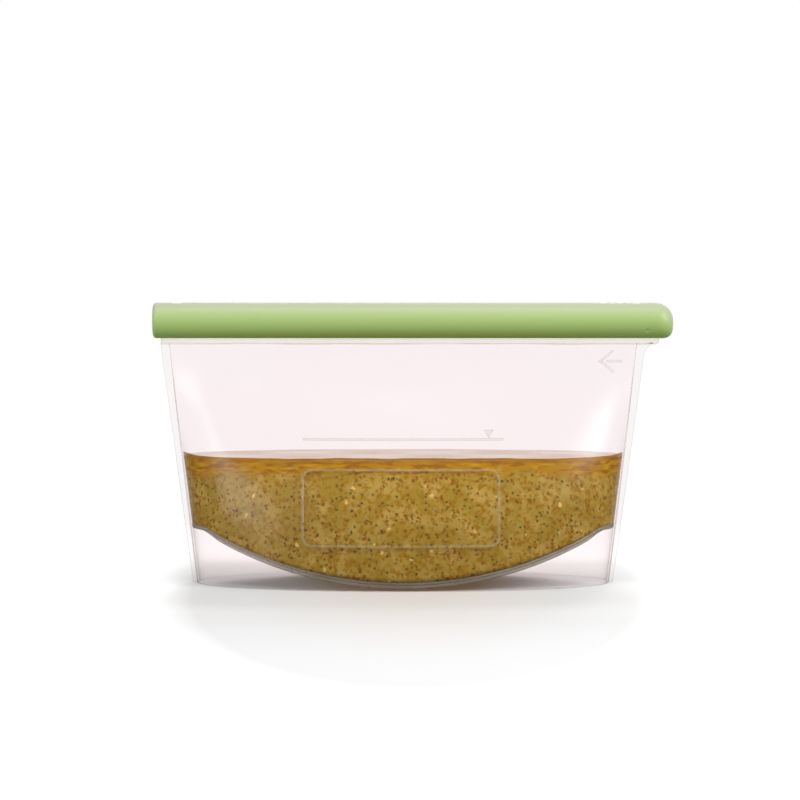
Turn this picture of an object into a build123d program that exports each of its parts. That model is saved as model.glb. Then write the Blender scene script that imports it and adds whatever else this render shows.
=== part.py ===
"""Reusable silicone storage bag with a slide-on closure bar, standing up and half filled with food.

Frame: X runs along the closure bar, Y from the front of the bag to its back, Z up.
The origin is on the floor, under the middle of the closed bar. Units are millimetres.
"""

from build123d import *
import os

# ---- closure bar --------------------------------------------------------------------------------

BAR_LENGTH = 224.0
BAR_RADIUS = 7.75
BAR_AXIS_Z = 113.0
BORE_RADIUS = 5.75
BORE_END_X = 106.8
SLOT_WIDTH = 3.8
OPEN_END_ROUNDING = 1.7

NOSE_HEEL_DROP = 3.2  # the closed end stays upright this far under its middle, then turns in

THUMB_PAD_X = 89.2
THUMB_PAD_LENGTH = 17.5
THUMB_PAD_WIDTH = 7.0
THUMB_PAD_CORNER = 3.4
THUMB_PAD_DEPTH = 0.4
GRIP_RIBS = 4
GRIP_RIB_PITCH = 3.4
GRIP_RIB_WIDTH = 1.2
GRIP_RIB_LENGTH = 4.9

NOTCH_X = -101.5
NOTCH_LENGTH = 4.8
NOTCH_DEPTH = 0.35

GATE_MARK_X = 100.7
GATE_MARK_DROP = 3.9
GATE_MARK_RADIUS = 0.55
GATE_MARK_DEPTH = 0.6

# ---- lips that the bar grips: a half-round bead, a neck through the bar's slot, a thicker foot --

LIP_LEFT_X = -108.6
LIP_RIGHT_X = 106.0
BEAD_RADIUS = 5.45
NECK_THICKNESS = 1.4
FOOT_THICKNESS = 1.8
FOOT_BOTTOM_Z = 102.2
FOOT_TOP_Z = 104.85
FOOT_CORNER = 1.9

# ---- bag ----------------------------------------------------------------------------------------

BAG_X = -4.3  # middle of the bag: the bar's closed end overhangs it
WALL = 1.0
FLOOR_HALF_WIDTH = 88.0
SIDE_SLOPE = 0.125  # half width gained for each millimetre of height

# One level of the inside per row: height, then how far the section's control points stand off the
# middle plane at the shoulders and at the middle, then how far in from the side (as a part of the
# half width) the shoulders start. The belly is full and oval below, flat above, shut at the lips.
BELLY = [
    (0.0, 37.5, 50.0, 0.0),
    (14.0, 38.5, 50.0, 0.0),
    (30.0, 38.5, 47.0, 0.0),
    (45.0, 37.5, 38.0, 0.03),
    (58.0, 34.0, 27.0, 0.08),
    (76.0, 22.0, 14.0, 0.2),
    (92.0, 8.5, 5.5, 0.3),
    (FOOT_BOTTOM_Z, 0.7, 0.7, 0.35),
]
FLATTEST_PINCH = 0.35
OVAL_STRETCH = 16 / 14  # an oval level's ends stay put, so its other points move this much further
SEAM_GAP = 0.2  # between the walls where they run into a side seam
THINNEST = 0.05

SEAM_FLOOR_HALF_WIDTH = 90.75  # out to the side seams' edges
SEAM_SLOPE = 0.1325
SEAM_HALF_THICKNESS = 1.1
WEB_RADIUS = 4.2  # hollow web that carries the lips' overhang on the right
WEB_HOLLOW = 0.27  # how near the corner its arc passes, as a part of its radius

GUSSET_THICKNESS = 1.2
GUSSET_ARC_RADIUS = 164.0  # along the bag
GUSSET_SAG = 3.1  # across the bag, over GUSSET_SAG_SPAN
GUSSET_SAG_SPAN = 84.0
GUSSET_HALF_SWING = 45.0  # degrees each way from the middle, past both sides of the bag
GUSSET_CROWN_Z = 0.8  # upper face at its lowest: the food presses the middle flat on the floor
CORNER_X = 86.0  # where the gusset's arc gives way to a level corner
CORNER_TOP_Z = 25.9
CORNER_THICKNESS = 2.0
CORNER_SET_DOWN = 0.4  # the sheet's own corners lie this far under the seams' corners
WELD_ABOVE = 1.4
WELD_BELOW = 1.2
WELD_DEPTH = 2.2

# ---- food and the raised marks on the front wall ------------------------------------------------

FILL_LEVEL_Z = 55.3
FOOD_CLEARANCE = 0.25

MARK_HEIGHT = 0.4
FILL_LINE_Z = 63.4
FILL_LINE_LENGTH = 85.3
FILL_LINE_WIDTH = 0.8
POINTER_X = 36.5
POINTER_SIDE = 4.6
POINTER_LIFT = 2.76  # from the fill line up to its middle
LABEL_X = -0.9
LABEL_Z = 35.0
LABEL_WIDTH = 84.0
LABEL_HEIGHT = 32.6
LABEL_CORNER = 4.2
LABEL_LINE_WIDTH = 0.9
ARROW_X = 89.4
ARROW_Z = 95.6
ARROW_LENGTH = 9.6
ARROW_BARB = 6.4
ARROW_LINE_WIDTH = 0.8

REACH = 60.0  # past the front or back of the bag from its middle plane

FRONT_VIEW = Plane((BAG_X, 0, 0), x_dir=(1, 0, 0), z_dir=(0, -1, 0))
BAR_SECTION = Plane((-BAR_LENGTH / 2, 0, BAR_AXIS_Z), x_dir=(0, 1, 0), z_dir=(1, 0, 0))
LIP_SECTION = Plane((LIP_LEFT_X, 0, 0), x_dir=(0, 1, 0), z_dir=(1, 0, 0))


def bag_shape(grow):
    """The inside of the bag, grown outwards: levels lofted from the floor to the lips.

    Where a level is oval it grows sideways at its two ends, and where it is flat it grows across.
    """
    with BuildPart() as shape:
        for z, shoulder, middle, pinch in BELLY:
            flatness = pinch / FLATTEST_PINCH
            end_x = FLOOR_HALF_WIDTH + SIDE_SLOPE * z + grow * (1 - flatness)
            end_y = max(SEAM_GAP / 2 + grow * flatness, THINNEST)
            shoulder_x = end_x * (1 - pinch)
            stretch = 1 + (OVAL_STRETCH - 1) * (1 - flatness)
            shoulder_y = max(shoulder + grow * stretch, end_y)
            middle_y = max(middle + grow * stretch, end_y)
            with BuildSketch(Plane((BAG_X, 0, z))):
                with BuildLine():
                    for side in (-1, 1):
                        Bezier(
                            (-end_x, side * end_y),
                            (-shoulder_x, side * shoulder_y),
                            (0, side * middle_y),
                            (shoulder_x, side * shoulder_y),
                            (end_x, side * end_y),
                        )
                    Line((-end_x, -end_y), (-end_x, end_y))
                    Line((end_x, -end_y), (end_x, end_y))
                make_face()
        loft()
    return shape.part


def keep_side(shape, side):
    """The front (side -1) or back (side 1) half of a shape, cut at the bag's middle plane."""
    with BuildPart() as half:
        add(shape)
        split(bisect_by=Plane.XZ, keep=Keep.TOP if side < 0 else Keep.BOTTOM)
    return half.part


inside = bag_shape(0)
outside = bag_shape(WALL)
wall_shell = outside - inside

# ---- walls --------------------------------------------------------------------------------------

with BuildPart() as front_wall:
    add(keep_side(wall_shell, -1))
front_wall.part.label = "front_wall"

with BuildPart() as back_wall:
    add(keep_side(wall_shell, 1))
back_wall.part.label = "back_wall"


# ---- side seams: flat margins where the two walls are bonded together --------------------------


def side_seam(side, name):
    """The bonded margin on one side, from the floor up to the lips' foot."""
    top_x = side * (SEAM_FLOOR_HALF_WIDTH + SEAM_SLOPE * FOOT_BOTTOM_Z)
    web_start_z = FOOT_BOTTOM_Z - WEB_RADIUS
    web_start_x = side * (SEAM_FLOOR_HALF_WIDTH + SEAM_SLOPE * web_start_z)
    with BuildPart() as seam:
        with BuildSketch(FRONT_VIEW):
            with BuildLine():
                Polyline(
                    (side * FLOOR_HALF_WIDTH, 0),
                    (side * SEAM_FLOOR_HALF_WIDTH, 0),
                    (top_x, FOOT_BOTTOM_Z),
                    (side * (FLOOR_HALF_WIDTH + SIDE_SLOPE * FOOT_BOTTOM_Z), FOOT_BOTTOM_Z),
                    close=True,
                )
            make_face()
            if side > 0:
                with BuildLine():
                    Line((top_x, FOOT_BOTTOM_Z), (web_start_x, web_start_z))
                    ThreePointArc(
                        (web_start_x, web_start_z),
                        (top_x + WEB_HOLLOW * WEB_RADIUS, FOOT_BOTTOM_Z - WEB_HOLLOW * WEB_RADIUS),
                        (top_x + WEB_RADIUS, FOOT_BOTTOM_Z),
                    )
                    Line((top_x + WEB_RADIUS, FOOT_BOTTOM_Z), (top_x, FOOT_BOTTOM_Z))
                make_face()
        extrude(amount=SEAM_HALF_THICKNESS, both=True)
        add(outside, mode=Mode.SUBTRACT)
    seam.part.label = name
    return seam


left_side_seam = side_seam(-1, "left_side_seam")
right_side_seam = side_seam(1, "right_side_seam")


# ---- lips ---------------------------------------------------------------------------------------


def lip(side, name):
    """One of the two lips that the closure bar squeezes together."""
    neck_height = BAR_AXIS_Z - FOOT_BOTTOM_Z
    foot_height = FOOT_TOP_Z - FOOT_BOTTOM_Z
    with BuildPart() as body:
        with BuildSketch(LIP_SECTION):
            with Locations((0, BAR_AXIS_Z)):
                Circle(BEAD_RADIUS)
            with Locations((0, FOOT_BOTTOM_Z + neck_height / 2)):
                Rectangle(2 * NECK_THICKNESS, neck_height)
            with Locations((0, FOOT_BOTTOM_Z + foot_height / 2)):
                Rectangle(2 * FOOT_THICKNESS, foot_height)
        extrude(amount=LIP_RIGHT_X - LIP_LEFT_X)
        lowest_cross_edges = body.edges().filter_by(Axis.Y).group_by(Axis.Z)[0]
        fillet(lowest_cross_edges.sort_by(Axis.X)[-1], radius=FOOT_CORNER)
        split(bisect_by=Plane.XZ, keep=Keep.TOP if side < 0 else Keep.BOTTOM)
    body.part.label = name
    return body


front_lip = lip(-1, "front_lip")
back_lip = lip(1, "back_lip")


# ---- bottom gusset, and the two thick seams that bond it to the walls ---------------------------


def gusset_layer(above, below, corner_above, corner_below):
    """A trough-shaped layer about the gusset's upper face, with level corners at its two ends.

    It is swung about an axis high over the bag, so that it climbs towards both sides of the bag,
    and it sags in between the walls. The four distances set its faces.
    """
    sag_y = GUSSET_SAG_SPAN / 2
    swing_axis = Axis((BAG_X, 0, GUSSET_CROWN_Z + GUSSET_ARC_RADIUS), (0, 1, 0))
    with BuildPart() as layer:
        with BuildSketch(Plane((BAG_X, 0, GUSSET_CROWN_Z), x_dir=(0, 1, 0), z_dir=(1, 0, 0))):
            with BuildLine():
                ThreePointArc((-sag_y, GUSSET_SAG + above), (0, above), (sag_y, GUSSET_SAG + above))
                Line((sag_y, GUSSET_SAG + above), (sag_y, GUSSET_SAG - below))
                ThreePointArc((sag_y, GUSSET_SAG - below), (0, -below), (-sag_y, GUSSET_SAG - below))
                Line((-sag_y, GUSSET_SAG - below), (-sag_y, GUSSET_SAG + above))
            make_face()
        revolve(axis=swing_axis, revolution_arc=GUSSET_HALF_SWING)
        mirror(about=Plane((BAG_X, 0, 0), z_dir=(1, 0, 0)))
        # Nothing of the arc stands above the level corners.
        with BuildSketch(Plane.XY.offset(CORNER_TOP_Z + corner_above)):
            with Locations((BAG_X, 0)):
                Rectangle(4 * REACH, 2 * REACH)
        extrude(amount=2 * REACH, mode=Mode.SUBTRACT)
        corner_reach = FLOOR_HALF_WIDTH + SIDE_SLOPE * CORNER_TOP_Z - CORNER_X + WALL
        with BuildSketch(Plane.XY.offset(CORNER_TOP_Z - corner_below)):
            with Locations(
                (BAG_X - CORNER_X - corner_reach / 2, 0), (BAG_X + CORNER_X + corner_reach / 2, 0)
            ):
                Rectangle(corner_reach, 2 * REACH)
        extrude(amount=corner_below + corner_above)
    return layer.part


def gusset_seam(side, name):
    """The thick curved seam between the gusset and one wall."""
    band = keep_side(inside - bag_shape(-WELD_DEPTH), side)
    with BuildPart() as weld:
        add(gusset_layer(WELD_ABOVE, GUSSET_THICKNESS + WELD_BELOW, 0, CORNER_THICKNESS))
        add(band, mode=Mode.INTERSECT)
    weld.part.label = name
    return weld


front_gusset_seam = gusset_seam(-1, "front_gusset_seam")
back_gusset_seam = gusset_seam(1, "back_gusset_seam")

with BuildPart() as bottom_gusset:
    add(gusset_layer(0, GUSSET_THICKNESS, -CORNER_SET_DOWN, CORNER_THICKNESS - CORNER_SET_DOWN))
    add(inside, mode=Mode.INTERSECT)
    add(front_gusset_seam.part, mode=Mode.SUBTRACT)
    add(back_gusset_seam.part, mode=Mode.SUBTRACT)
bottom_gusset.part.label = "bottom_gusset"

# ---- food: a thick sauce, filling the bag from the gusset up to its level -----------------------

with BuildPart() as food_fill:
    add(bag_shape(-FOOD_CLEARANCE))
    split(bisect_by=Plane.XY.offset(FILL_LEVEL_Z), keep=Keep.BOTTOM)
    below_food = gusset_layer(WELD_ABOVE + FOOD_CLEARANCE, REACH, FOOD_CLEARANCE, CORNER_TOP_Z)
    add(below_food, mode=Mode.SUBTRACT)
food_fill.part.label = "food_fill"

# ---- raised marks on the front wall -------------------------------------------------------------

mark_limit = bag_shape(WALL + MARK_HEIGHT)


def raised_mark(outline, name):
    """A flat outline in the front view, raised from the front wall's outer face."""
    with BuildPart() as mark:
        extrude(outline.sketch, amount=REACH)
        add(mark_limit, mode=Mode.INTERSECT)
        add(outside, mode=Mode.SUBTRACT)
    mark.part.label = name
    return mark


with BuildSketch(FRONT_VIEW) as fill_line_outline:
    with Locations((0, FILL_LINE_Z)):
        SlotOverall(FILL_LINE_LENGTH, FILL_LINE_WIDTH)

with BuildSketch(FRONT_VIEW) as fill_pointer_outline:
    with Locations((POINTER_X, FILL_LINE_Z + POINTER_LIFT)):
        RegularPolygon(POINTER_SIDE / 2, 3, rotation=-90)

with BuildSketch(FRONT_VIEW) as label_frame_outline:
    with Locations((LABEL_X, LABEL_Z)):
        RectangleRounded(LABEL_WIDTH, LABEL_HEIGHT, LABEL_CORNER)
        RectangleRounded(
            LABEL_WIDTH - 2 * LABEL_LINE_WIDTH,
            LABEL_HEIGHT - 2 * LABEL_LINE_WIDTH,
            LABEL_CORNER - LABEL_LINE_WIDTH,
            mode=Mode.SUBTRACT,
        )

with BuildSketch(FRONT_VIEW) as slide_arrow_outline:
    arrow_tip = (ARROW_X - ARROW_LENGTH / 2, ARROW_Z)
    with Locations((ARROW_X, ARROW_Z)):
        Rectangle(ARROW_LENGTH, ARROW_LINE_WIDTH)
    for turn in (45, -45):
        with Locations(Pos(*arrow_tip) * Rot(0, 0, turn)):
            with Locations((ARROW_BARB / 2, 0)):
                SlotOverall(ARROW_BARB + ARROW_LINE_WIDTH, ARROW_LINE_WIDTH)

fill_line = raised_mark(fill_line_outline, "fill_line")
fill_pointer = raised_mark(fill_pointer_outline, "fill_pointer")
label_frame = raised_mark(label_frame_outline, "label_frame")
slide_arrow = raised_mark(slide_arrow_outline, "slide_arrow")

# ---- closure bar --------------------------------------------------------------------------------

nose_x = BAR_LENGTH / 2 - BAR_RADIUS
heel_radius = BAR_RADIUS - NOSE_HEEL_DROP
nose_plane = Plane((nose_x, 0, BAR_AXIS_Z), x_dir=(1, 0, 0), z_dir=(0, -1, 0))

# Closed end, turned about an upright axis: a dome above the middle, a straighter heel below it.
with BuildPart() as nose:
    with BuildSketch(nose_plane):
        with BuildLine():
            CenterArc((0, 0), BAR_RADIUS, 0, 90)
            Line((BAR_RADIUS, 0), (BAR_RADIUS, -NOSE_HEEL_DROP))
            CenterArc((BAR_RADIUS - heel_radius, -NOSE_HEEL_DROP), heel_radius, 270, 90)
            Line((BAR_RADIUS - heel_radius, -BAR_RADIUS), (0, -BAR_RADIUS))
            Line((0, -BAR_RADIUS), (0, BAR_RADIUS))
        make_face()
    revolve(axis=Axis((nose_x, 0, 0), (0, 0, 1)))

with BuildPart() as end_envelope:
    with BuildSketch(BAR_SECTION):
        Rectangle(REACH, REACH)
    extrude(amount=nose_x + BAR_LENGTH / 2)
    add(nose.part)

with BuildPart() as closure_bar:
    with BuildSketch(BAR_SECTION):
        Circle(BAR_RADIUS)
    extrude(amount=BAR_LENGTH)
    fillet(closure_bar.edges().sort_by(Axis.X)[0], radius=OPEN_END_ROUNDING)
    add(end_envelope.part, mode=Mode.INTERSECT)

    # Bore for the lips' bead, and the slot that their neck passes through.
    with BuildSketch(BAR_SECTION):
        Circle(BORE_RADIUS)
        with Locations((0, -BAR_RADIUS)):
            Rectangle(SLOT_WIDTH, 2 * BAR_RADIUS)
    extrude(amount=BORE_END_X + BAR_LENGTH / 2, mode=Mode.SUBTRACT)

    # Thumb pad on top: a shallow flat with grip ribs standing in it.
    pad_floor_z = BAR_AXIS_Z + BAR_RADIUS - THUMB_PAD_DEPTH
    with BuildSketch(Plane((THUMB_PAD_X, 0, pad_floor_z))):
        RectangleRounded(THUMB_PAD_LENGTH, THUMB_PAD_WIDTH, THUMB_PAD_CORNER)
        with GridLocations(GRIP_RIB_PITCH, 0, GRIP_RIBS, 1):
            SlotOverall(GRIP_RIB_LENGTH, GRIP_RIB_WIDTH, rotation=90, mode=Mode.SUBTRACT)
    extrude(amount=BAR_RADIUS, mode=Mode.SUBTRACT)

    # Shallow cross notch on top, near the open end.
    with BuildSketch(Plane((NOTCH_X, 0, BAR_AXIS_Z + BAR_RADIUS - NOTCH_DEPTH))):
        Rectangle(NOTCH_LENGTH, 2 * BAR_RADIUS)
    extrude(amount=BAR_RADIUS, mode=Mode.SUBTRACT)

    # Moulding gate mark: a dimple in the front, low down by the closed end.
    front_y = (BAR_RADIUS**2 - GATE_MARK_DROP**2) ** 0.5
    mark_centre = (GATE_MARK_X, GATE_MARK_DEPTH - front_y, BAR_AXIS_Z - GATE_MARK_DROP)
    with BuildSketch(Plane(mark_centre, x_dir=(1, 0, 0), z_dir=(0, -1, 0))):
        Circle(GATE_MARK_RADIUS)
    extrude(amount=BAR_RADIUS, mode=Mode.SUBTRACT)
closure_bar.part.label = "closure_bar"

# ---- write each piece ---------------------------------------------------------------------------

PIECES = [
    closure_bar,
    front_lip,
    back_lip,
    front_wall,
    back_wall,
    left_side_seam,
    right_side_seam,
    bottom_gusset,
    front_gusset_seam,
    back_gusset_seam,
    label_frame,
    fill_line,
    fill_pointer,
    slide_arrow,
    food_fill,
]

os.makedirs("parts", exist_ok=True)
for piece in PIECES:
    export_step(piece.part, f"parts/{piece.part.label}.step")
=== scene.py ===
import bisect
import math

import bmesh
import bpy
from mathutils import Matrix, Vector


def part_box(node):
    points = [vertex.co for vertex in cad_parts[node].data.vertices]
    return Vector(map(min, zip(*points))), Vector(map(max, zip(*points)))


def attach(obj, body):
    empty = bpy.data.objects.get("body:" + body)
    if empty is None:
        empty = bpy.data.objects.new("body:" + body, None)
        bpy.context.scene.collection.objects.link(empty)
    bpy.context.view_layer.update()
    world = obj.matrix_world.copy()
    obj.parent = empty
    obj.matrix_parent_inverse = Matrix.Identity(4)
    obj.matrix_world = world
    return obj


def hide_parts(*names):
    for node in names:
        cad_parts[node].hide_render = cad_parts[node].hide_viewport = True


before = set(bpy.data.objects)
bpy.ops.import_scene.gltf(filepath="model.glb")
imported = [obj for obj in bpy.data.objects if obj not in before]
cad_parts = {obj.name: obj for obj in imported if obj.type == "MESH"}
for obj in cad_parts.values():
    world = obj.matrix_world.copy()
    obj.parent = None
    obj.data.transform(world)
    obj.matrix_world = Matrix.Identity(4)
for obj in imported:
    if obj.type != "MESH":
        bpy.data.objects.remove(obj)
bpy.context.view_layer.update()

mm = 0.001

# ---- Front wall ---------------------------------------------------------------------------------
# A sheet of clear silicone a millimetre thick, pressed in a mould and bonded to the back wall
# along its sides. The food fills it into a belly, and above the food it goes slack and dents in.

wall_low, wall_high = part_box("front_wall")
bag_x = (wall_low.x + wall_high.x) / 2
lip_foot_z = wall_high.z
wall_thickness = 1.0 * mm
floor_half_width = 88.0 * mm
side_slope = 0.125
flattest_pinch = 0.35
seam_gap = 0.2 * mm
oval_stretch = 16 / 14
dent_fade = 9.0 * mm
wall_columns, wall_rows = 150, 72

# Height, then how far the section's control points stand off the middle plane at the shoulders and
# at the middle, in millimetres, then how far in from the side the shoulders start.
belly = [
    (0.0, 37.5, 50.0, 0.0),
    (14.0, 38.5, 50.0, 0.0),
    (30.0, 38.5, 47.0, 0.0),
    (45.0, 37.5, 38.0, 0.03),
    (58.0, 34.0, 27.0, 0.08),
    (76.0, 22.0, 14.0, 0.2),
    (92.0, 8.5, 5.5, 0.3),
    (102.2, 0.7, 0.7, 0.35),
]
belly_heights = [row[0] * mm for row in belly]

# Soft dents where the sheet is slack, in millimetres: middle (x, z), reach along and across, then
# lean in degrees and depth.
front_dents = [
    ((-68, 80), (34, 9), -62, 2.3),
    ((-84, 74), (24, 6), -70, -1.0),
    ((66, 82), (26, 10), 58, 1.1),
    ((6, 86), (46, 9), 4, 0.8),
    ((30, 74), (30, 8), -12, 0.5),
]
back_dents = [
    ((58, 78), (32, 12), 60, 1.6),
    ((-60, 84), (30, 10), -55, 1.2),
    ((-8, 80), (44, 10), -6, 1.0),
]


def belly_value(z, column):
    """A column of the belly's table at height z, eased from level to level."""
    i = min(max(bisect.bisect_right(belly_heights, z) - 1, 0), len(belly) - 2)

    def slope(k):
        a, b = max(k - 1, 0), min(k + 1, len(belly) - 1)
        return (belly[b][column] - belly[a][column]) / (belly_heights[b] - belly_heights[a])

    step = belly_heights[i + 1] - belly_heights[i]
    s = min(max((z - belly_heights[i]) / step, 0), 1)
    start = (2 * s**3 - 3 * s**2 + 1) * belly[i][column]
    end = (3 * s**2 - 2 * s**3) * belly[i + 1][column]
    leave = (s**3 - 2 * s**2 + s) * step * slope(i)
    arrive = (s**3 - s**2) * step * slope(i + 1)
    return start + end + leave + arrive


def dent_depth(x, z, dents):
    """How far the slack sheet is dented in at a point, x measured from the bag's middle."""
    depth = 0.0
    for (cx, cz), (along, across), lean, most in dents:
        turn = math.radians(lean)
        dx, dz = x - cx * mm, z - cz * mm
        a = (dx * math.cos(turn) + dz * math.sin(turn)) / (along * mm)
        b = (dz * math.cos(turn) - dx * math.sin(turn)) / (across * mm)
        depth += most * mm * math.exp(-a * a - b * b)
    return depth


def skin_point(u, z, side, grow=0.0):
    """A point of the bag's skin: u from -1 at the left seam to 1 at the right, side -1 in front."""
    shoulder = belly_value(z, 1) * mm
    middle = belly_value(z, 2) * mm
    pinch = belly_value(z, 3)
    flatness = min(max(pinch / flattest_pinch, 0), 1)
    end_x = floor_half_width + side_slope * z + grow * (1 - flatness)
    end_y = max(seam_gap / 2 + grow * flatness, 0.05 * mm)
    stretch = 1 + (oval_stretch - 1) * (1 - flatness)
    shoulder_x = end_x * (1 - pinch)
    t = (u + 1) / 2
    weights = [math.comb(4, k) * (1 - t) ** (4 - k) * t**k for k in range(5)]
    xs = (-end_x, -shoulder_x, 0, shoulder_x, end_x)
    grown = grow * stretch
    ys = (end_y, shoulder + grown, middle + grown, shoulder + grown, end_y)
    x = sum(w * v for w, v in zip(weights, xs))
    y = sum(w * max(v, end_y) for w, v in zip(weights, ys))
    dented = dent_depth(x, z, front_dents if side < 0 else back_dents)
    y -= dented * min(y / dent_fade, 1) ** 2
    return Vector((bag_x + x, side * y, z))


def finish_mesh(bm, name, crease=180):
    """Turns a bmesh into an object at the origin, smooth shaded except over sharper edges."""
    for face in bm.faces:
        face.smooth = True
    for edge in bm.edges:
        edge.smooth = edge.calc_face_angle(0) < math.radians(crease)
    mesh = bpy.data.meshes.new(name)
    bm.to_mesh(mesh)
    bm.free()
    piece = bpy.data.objects.new(name, mesh)
    bpy.context.scene.collection.objects.link(piece)
    return piece


def wall_sheet(name, side):
    """One wall: a grid laid on the bag's outer skin and given its thickness inwards."""
    bm = bmesh.new()
    bmesh.ops.create_grid(bm, x_segments=wall_columns, y_segments=wall_rows, size=1)
    for v in bm.verts:
        z = (v.co.y + 1) / 2 * (lip_foot_z + 1.0 * mm)
        v.co = skin_point(v.co.x, z, side, wall_thickness)
    if side > 0:
        bmesh.ops.reverse_faces(bm, faces=bm.faces)
    piece = finish_mesh(bm, name)
    thick = piece.modifiers.new("thickness", "SOLIDIFY")
    thick.thickness = wall_thickness
    thick.offset = -1
    return piece


def new_material(name):
    """An empty node material with its output node."""
    material = bpy.data.materials.new(name)
    material.use_nodes = True
    material.node_tree.nodes.clear()
    output = material.node_tree.nodes.new("ShaderNodeOutputMaterial")
    return material, material.node_tree, output


def add_node(tree, kind, **settings):
    """A node with its settings; a key that names an input socket sets that socket instead."""
    node = tree.nodes.new(kind)
    for key, value in settings.items():
        if key in node.inputs:
            node.inputs[key].default_value = value
        else:
            setattr(node, key, value)
    return node


def spread(tree, source, low, high, to_low=0.0, to_high=1.0):
    """A value taken from low..high to to_low..to_high, and held there beyond them."""
    limits = {"From Min": low, "From Max": high, "To Min": to_low, "To Max": to_high}
    node = add_node(tree, "ShaderNodeMapRange", **limits)
    tree.links.new(source, node.inputs["Value"])
    return node.outputs["Result"]


def calculate(tree, operation, *terms, use_clamp=False):
    """A maths node on numbers or other nodes' values."""
    node = add_node(tree, "ShaderNodeMath", operation=operation, use_clamp=use_clamp)
    for socket, term in zip(node.inputs, terms):
        if isinstance(term, float):
            socket.default_value = term
        else:
            tree.links.new(term, socket)
    return node.outputs["Value"]


def colour_mix(tree, under, over, mask):
    """Lays one colour over another where the mask is white."""
    mix = add_node(tree, "ShaderNodeMix", data_type="RGBA")
    ends = [i for i in mix.inputs if i.type == "RGBA"]
    for socket, source in zip(ends, (under, over)):
        if isinstance(source, tuple):
            socket.default_value = (*source, 1)
        else:
            tree.links.new(source, socket)
    tree.links.new(mask, mix.inputs["Factor"])
    return [o for o in mix.outputs if o.type == "RGBA"][0]


# Moulded grain: a fine tooth and a slow unevenness, shared by every moulded piece.
grain_group = bpy.data.node_groups.new("moulded_grain", "ShaderNodeTree")
for socket_name, value in (("Fine Scale", 900.0), ("Slow Scale", 60.0), ("Slow Share", 0.5)):
    grain_group.interface.new_socket(socket_name, in_out="INPUT", socket_type="NodeSocketFloat")
    grain_group.interface.items_tree[-1].default_value = value
grain_group.interface.new_socket("Height", in_out="OUTPUT", socket_type="NodeSocketFloat")
grain_group.interface.new_socket("Slow", in_out="OUTPUT", socket_type="NodeSocketFloat")
grain_in = grain_group.nodes.new("NodeGroupInput")
grain_out = grain_group.nodes.new("NodeGroupOutput")
grain_place = add_node(grain_group, "ShaderNodeTexCoord")
grain_fine = add_node(grain_group, "ShaderNodeTexNoise", Detail=3.0, Roughness=0.6)
grain_slow = add_node(grain_group, "ShaderNodeTexNoise", Detail=2.0, Roughness=0.5)
grain_mix = add_node(grain_group, "ShaderNodeMix", data_type="FLOAT")
grain_links = grain_group.links
grain_links.new(grain_place.outputs["Object"], grain_fine.inputs["Vector"])
grain_links.new(grain_place.outputs["Object"], grain_slow.inputs["Vector"])
grain_links.new(grain_in.outputs["Fine Scale"], grain_fine.inputs["Scale"])
grain_links.new(grain_in.outputs["Slow Scale"], grain_slow.inputs["Scale"])
grain_links.new(grain_in.outputs["Slow Share"], grain_mix.inputs["Factor"])
grain_links.new(grain_fine.outputs["Fac"], grain_mix.inputs["A"])
grain_links.new(grain_slow.outputs["Fac"], grain_mix.inputs["B"])
grain_links.new(grain_mix.outputs["Result"], grain_out.inputs["Height"])
grain_links.new(grain_slow.outputs["Fac"], grain_out.inputs["Slow"])


def grain(tree, fine, slow, share):
    """Places the moulded grain group in a material."""
    node = tree.nodes.new("ShaderNodeGroup")
    node.node_tree = grain_group
    node.inputs["Fine Scale"].default_value = fine
    node.inputs["Slow Scale"].default_value = slow
    node.inputs["Slow Share"].default_value = share
    return node


def silicone(name, clear, edge, haze_colour, haze, edge_haze, sharpness=3.0, roughness=0.3):
    """Clear silicone: it tints what is behind it, and greys and hazes where it is seen edge-on."""
    material, tree, output = new_material(name)
    links = tree.links
    texture = grain(tree, 800.0, 40.0, 0.45)
    bump = add_node(tree, "ShaderNodeBump", Strength=0.03, Distance=0.0004)
    links.new(texture.outputs["Height"], bump.inputs["Height"])
    facing = add_node(tree, "ShaderNodeLayerWeight", Blend=0.5).outputs["Facing"]
    edge_on = calculate(tree, "POWER", facing, sharpness)
    through = add_node(tree, "ShaderNodeBsdfTransparent")
    links.new(colour_mix(tree, clear, edge, edge_on), through.inputs["Color"])
    body = add_node(tree, "ShaderNodeBsdfPrincipled", Roughness=0.5, IOR=1.41)
    body.inputs["Base Color"].default_value = (*haze_colour, 1)
    links.new(bump.outputs["Normal"], body.inputs["Normal"])
    haze_share = spread(tree, edge_on, 0.0, 1.0, haze, edge_haze)
    uneven = spread(tree, texture.outputs["Slow"], 0.3, 0.7, 0.75, 1.25)
    cloudy = add_node(tree, "ShaderNodeMixShader")
    hazing = calculate(tree, "MULTIPLY", haze_share, uneven, use_clamp=True)
    links.new(hazing, cloudy.inputs["Fac"])
    links.new(through.outputs["BSDF"], cloudy.inputs[1])
    links.new(body.outputs["BSDF"], cloudy.inputs[2])
    gloss = add_node(tree, "ShaderNodeBsdfGlossy", Roughness=roughness)
    links.new(bump.outputs["Normal"], gloss.inputs["Normal"])
    coat = add_node(tree, "ShaderNodeMixShader")
    shine = spread(tree, calculate(tree, "POWER", facing, 5.0), 0.0, 1.0, 0.012, 0.45)
    links.new(shine, coat.inputs["Fac"])
    links.new(cloudy.outputs["Shader"], coat.inputs[1])
    links.new(gloss.outputs["BSDF"], coat.inputs[2])
    links.new(coat.outputs["Shader"], output.inputs["Surface"])
    return material


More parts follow.
